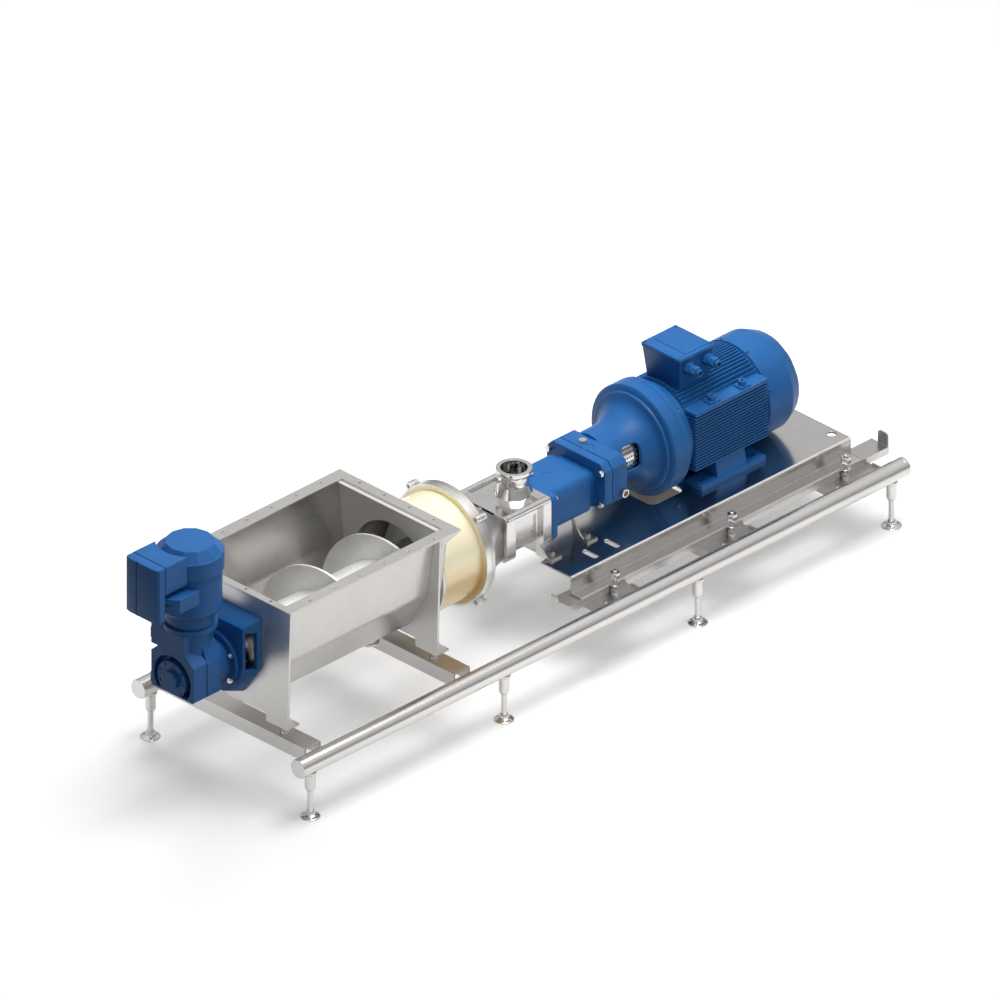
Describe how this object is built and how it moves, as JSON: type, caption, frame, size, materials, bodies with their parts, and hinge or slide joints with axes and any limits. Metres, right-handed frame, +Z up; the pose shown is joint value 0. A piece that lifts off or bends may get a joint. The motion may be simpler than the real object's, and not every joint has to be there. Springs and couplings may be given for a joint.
{
  "type": "twin screw pump with feed hopper",
  "caption": "Twin screw pump unit with an auger-fed hopper, a gear motor, a finned drive motor on a sliding carriage and a tube frame on levelling feet.",
  "frame": {"origin": "on the floor, midway along the whole length and on the frame's centre plane", "axes": "+X from the hopper's gear motor to the drive motor, +Y to the side away from the picture's camera, +Z up"},
  "size_m": [2.84, 0.7202, 0.867],
  "materials": {
    "stainless_sheet": "satin, brushed sheet",
    "polished_steel": "polished steel",
    "dark_steel": "dull grey steel",
    "blue_paint": "semi-gloss blue paint",
    "cream_paint": "satin cream paint",
    "black_plastic": "matt black plastic",
    "seal_rubber": "matt black rubber"
  },
  "bodies": {
    "stand": {"tube_near": "stainless_sheet", "tube_far": "stainless_sheet", "hopper_beams": "stainless_sheet", "rail_brackets": "stainless_sheet", "rail_near": "stainless_sheet", "rail_far": "stainless_sheet", "clamp_posts": "polished_steel", "clamp_jaws": "dark_steel", "hopper_trough": "stainless_sheet", "hopper_rim": "stainless_sheet", "front_plate": "stainless_sheet", "saddle_plate": "stainless_sheet", "hopper_end_wall": "stainless_sheet", "hopper_foot_bolts": "polished_steel", "auger_seal": "seal_rubber", "lantern": "blue_paint", "lantern_guard": "polished_steel", "gear_housing": "blue_paint", "gear_cover": "blue_paint", "gear_bolts": "polished_steel", "drive_body": "blue_paint", "drive_cowl": "blue_paint", "inverter_box": "blue_paint", "connector_block": "blue_paint", "feed_tube": "cream_paint", "feed_tube_flange": "stainless_sheet", "clamp_ring": "cream_paint"},
    "foot_1": {"foot_1": "polished_steel"},
    "foot_2": {"foot_2": "polished_steel"},
    "foot_3": {"foot_3": "polished_steel"},
    "foot_4": {"foot_4": "polished_steel"},
    "foot_5": {"foot_5": "polished_steel"},
    "foot_6": {"foot_6": "polished_steel"},
    "foot_7": {"foot_7": "polished_steel"},
    "foot_8": {"foot_8": "polished_steel"},
    "auger": {"auger": "dark_steel"},
    "gear_motor_rotor": {"drive_rotor": "dark_steel"},
    "carriage": {"carriage_plate": "stainless_sheet", "suction_casing": "stainless_sheet", "pump_head": "polished_steel", "discharge_port": "polished_steel", "shaft_seals": "seal_rubber", "gearbox_middle": "blue_paint", "gear_case": "blue_paint", "gearbox_supports": "stainless_sheet", "gearbox_plugs": "polished_steel", "bell_housing": "blue_paint", "bell_guard": "polished_steel", "motor_frame": "blue_paint", "terminal_box": "blue_paint", "cable_glands": "blue_paint", "fan_cowl": "blue_paint"},
    "drive_train": {"screw_drive": "polished_steel", "gear_drive": "dark_steel", "coupling_pump_hub": "dark_steel", "coupling_motor_hub": "dark_steel", "motor_rotor": "dark_steel", "motor_fan": "black_plastic"},
    "driven_train": {"screw_driven": "polished_steel", "gear_driven": "dark_steel"}
  },
  "joints": [
    {"name": "carriage_slide", "type": "slide", "parent": "stand", "child": "carriage", "axis": [1, 0, 0], "range_m": [0, 0.1]},
    {"name": "drive_spin", "type": "hinge", "parent": "carriage", "child": "drive_train", "pos_m": [0.351, 0.036, 0.426], "axis": [1, 0, 0], "continuous": true},
    {"name": "driven_spin", "type": "hinge", "parent": "carriage", "child": "driven_train", "pos_m": [0.351, -0.036, 0.426], "axis": [1, 0, 0], "continuous": true},
    {"name": "auger_spin", "type": "hinge", "parent": "stand", "child": "auger", "pos_m": [-0.749, 0, 0.426], "axis": [1, 0, 0], "continuous": true},
    {"name": "gear_motor_spin", "type": "hinge", "parent": "stand", "child": "gear_motor_rotor", "pos_m": [-1.216, 0, 0.7], "axis": [0, 0, 1], "continuous": true},
    {"name": "foot_1_level", "type": "slide", "parent": "stand", "child": "foot_1", "axis": [0, 0, -1], "range_m": [0, 0.03]},
    {"name": "foot_2_level", "type": "slide", "parent": "stand", "child": "foot_2", "axis": [0, 0, -1], "range_m": [0, 0.03]},
    {"name": "foot_3_level", "type": "slide", "parent": "stand", "child": "foot_3", "axis": [0, 0, -1], "range_m": [0, 0.03]},
    {"name": "foot_4_level", "type": "slide", "parent": "stand", "child": "foot_4", "axis": [0, 0, -1], "range_m": [0, 0.03]},
    {"name": "foot_5_level", "type": "slide", "parent": "stand", "child": "foot_5", "axis": [0, 0, -1], "range_m": [0, 0.03]},
    {"name": "foot_6_level", "type": "slide", "parent": "stand", "child": "foot_6", "axis": [0, 0, -1], "range_m": [0, 0.03]},
    {"name": "foot_7_level", "type": "slide", "parent": "stand", "child": "foot_7", "axis": [0, 0, -1], "range_m": [0, 0.03]},
    {"name": "foot_8_level", "type": "slide", "parent": "stand", "child": "foot_8", "axis": [0, 0, -1], "range_m": [0, 0.03]}
  ],
  "couplings": [
    {"joint": "driven_spin", "follows": "drive_spin", "ratio": -1},
    {"joint": "gear_motor_spin", "follows": "auger_spin", "ratio": 24}
  ]
}
